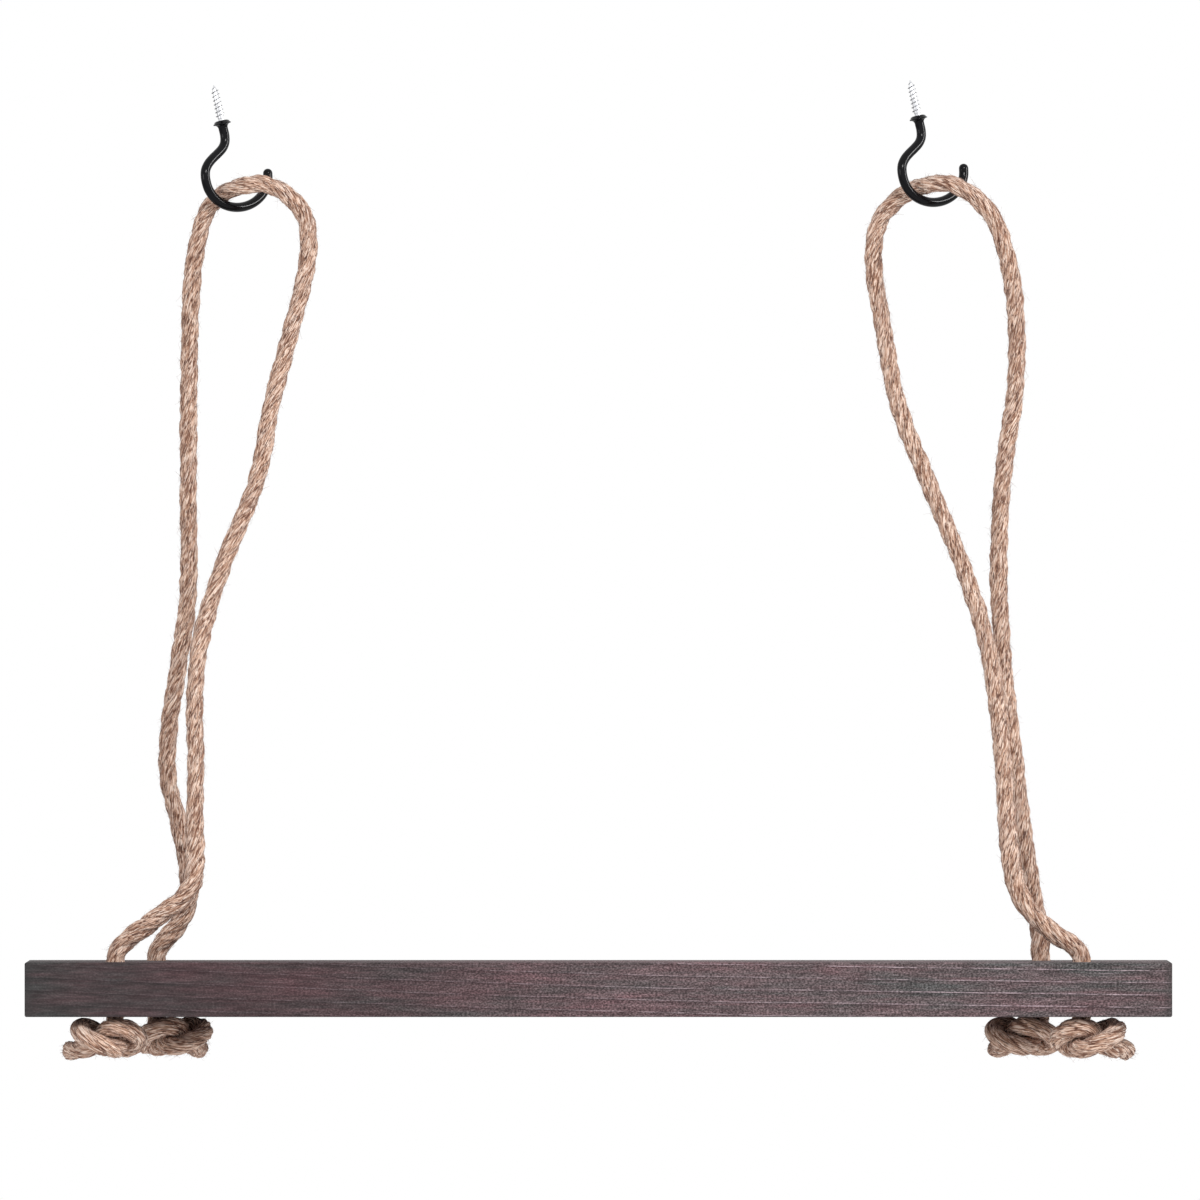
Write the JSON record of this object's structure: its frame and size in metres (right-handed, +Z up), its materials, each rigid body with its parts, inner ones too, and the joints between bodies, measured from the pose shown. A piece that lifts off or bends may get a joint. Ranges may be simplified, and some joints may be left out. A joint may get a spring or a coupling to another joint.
{
  "type": "hanging rope shelf",
  "caption": "Stained softwood shelf board hung at each end by a knotted rope sling from a black coated cup hook.",
  "frame": {"origin": "between the two hooks, level with the ceiling face of the right hook's collar, over the middle of the board", "axes": "+X along the board to the right, +Y to the back, +Z up"},
  "size_m": [0.505, 0.14, 0.4322],
  "materials": {
    "stained_wood": "satin stain",
    "jute_rope": "natural three-strand rope",
    "black_coat": "gloss vinyl coat",
    "zinc_steel": "bright zinc"
  },
  "bodies": {
    "hooks": {"hook_steel_left": "zinc_steel", "hook_steel_right": "zinc_steel", "hook_coat_left": "black_coat", "hook_coat_right": "black_coat", "hook_collar_left": "black_coat", "hook_collar_right": "black_coat"},
    "shelf": {"shelf_board": "stained_wood", "rope_left": "jute_rope", "rope_right": "jute_rope", "knot_left_front": "jute_rope", "knot_left_back": "jute_rope", "knot_right_front": "jute_rope", "knot_right_back": "jute_rope"}
  },
  "joints": [
    {"name": "swing", "type": "hinge", "parent": "hooks", "child": "shelf", "pos_m": [0, 0, -0.037], "axis": [1, 0, 0], "range_deg": [-15, 15]}
  ]
}
